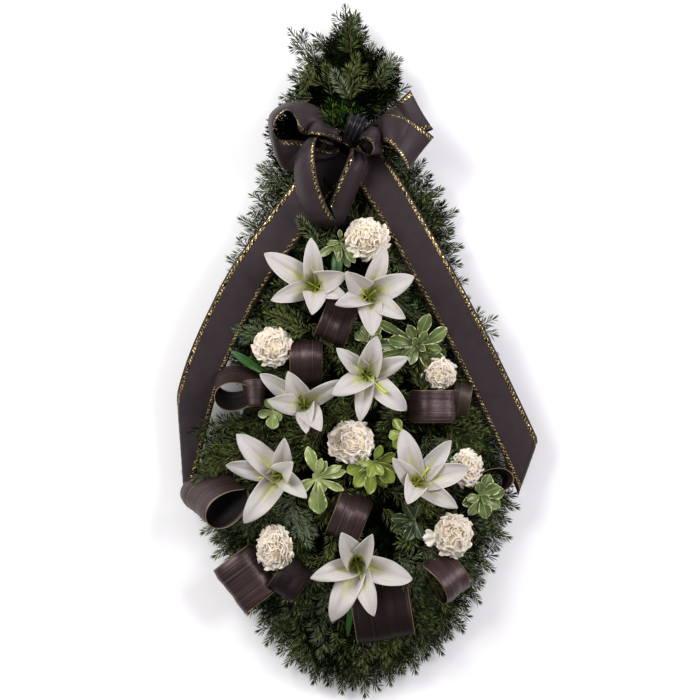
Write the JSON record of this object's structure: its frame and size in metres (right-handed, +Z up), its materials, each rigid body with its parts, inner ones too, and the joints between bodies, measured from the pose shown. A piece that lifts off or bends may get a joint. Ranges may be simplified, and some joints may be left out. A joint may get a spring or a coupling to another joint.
{
  "type": "memorial wreath",
  "caption": "Drop-shaped memorial wreath lying on its back: fir, white lilies, carnations and rolled leaves set in foam, with a wired ribbon bow and two tails.",
  "frame": {"origin": "middle of the wreath's footprint, on the surface it lies on", "axes": "+Y from the round foot to the tip, +X across the face to the right as the face is looked at, +Z up out of the face"},
  "size_m": [0.5834, 1.102, 0.1742],
  "materials": {
    "lily_petal": "soft satin white petals, yellow-green in the throat",
    "carnation_petal": "matt ivory ruffled petals",
    "dyed_leaf": "satin, near-black dyed leaf with fine lengthwise striations",
    "variegated_leaf": "satin mid-green leaf with a cream margin",
    "ribbon": "charcoal taffeta with a gold glitter line near each edge",
    "fir": "dark green needles on brown twigs",
    "foam": "open-cell moist floral foam",
    "board": "raw hardboard"
  },
  "bodies": {
    "root": {"lily_top_left": "lily_petal", "lily_top_right": "lily_petal", "lily_middle": "lily_petal", "lily_middle_left": "lily_petal", "lily_left": "lily_petal", "lily_right": "lily_petal", "lily_foot": "lily_petal", "carnation_top": "carnation_petal", "carnation_left": "carnation_petal", "carnation_right": "carnation_petal", "carnation_middle": "carnation_petal", "carnation_far_right": "carnation_petal", "carnation_low_right": "carnation_petal", "carnation_low_left": "carnation_petal", "bow_tie": "ribbon", "bow_loop_right_small": "ribbon", "bow_loop_left_inner": "ribbon", "bow_loop_front": "ribbon", "bow_loop_left": "ribbon", "bow_loop_right_lower": "ribbon", "bow_loop_right_upper": "ribbon", "rolled_leaf_top": "dyed_leaf", "rolled_leaf_upper": "dyed_leaf", "rolled_leaf_ring": "dyed_leaf", "rolled_leaf_right": "dyed_leaf", "rolled_leaf_behind": "dyed_leaf", "rolled_leaf_left": "dyed_leaf", "rolled_leaf_centre": "dyed_leaf", "rolled_leaf_low_left": "dyed_leaf", "rolled_leaf_inner_left": "dyed_leaf", "rolled_leaf_foot": "dyed_leaf", "rolled_leaf_low_right": "dyed_leaf", "rolled_leaf_far_right": "dyed_leaf", "bow_tail_left": "ribbon", "bow_tail_right": "ribbon", "rosette_top": "variegated_leaf", "rosette_right": "variegated_leaf", "rosette_centre_left": "variegated_leaf", "rosette_centre": "variegated_leaf", "rosette_far_right": "variegated_leaf", "rosette_low_right": "variegated_leaf", "fir_crown": "fir", "fir_crown_left": "fir", "fir_crown_right": "fir", "fir_upper_left": "fir", "fir_shoulder_left": "fir", "fir_side_left": "fir", "fir_waist_left": "fir", "fir_low_left": "fir", "fir_foot_left": "fir", "fir_foot": "fir", "fir_low_right": "fir", "fir_waist_right": "fir", "fir_hip_right": "fir", "fir_side_right": "fir", "fir_shoulder_right": "fir", "fir_face_upper": "fir", "fir_face_left": "fir", "floral_foam": "foam", "backing_board": "board"}
  },
  "joints": []
}
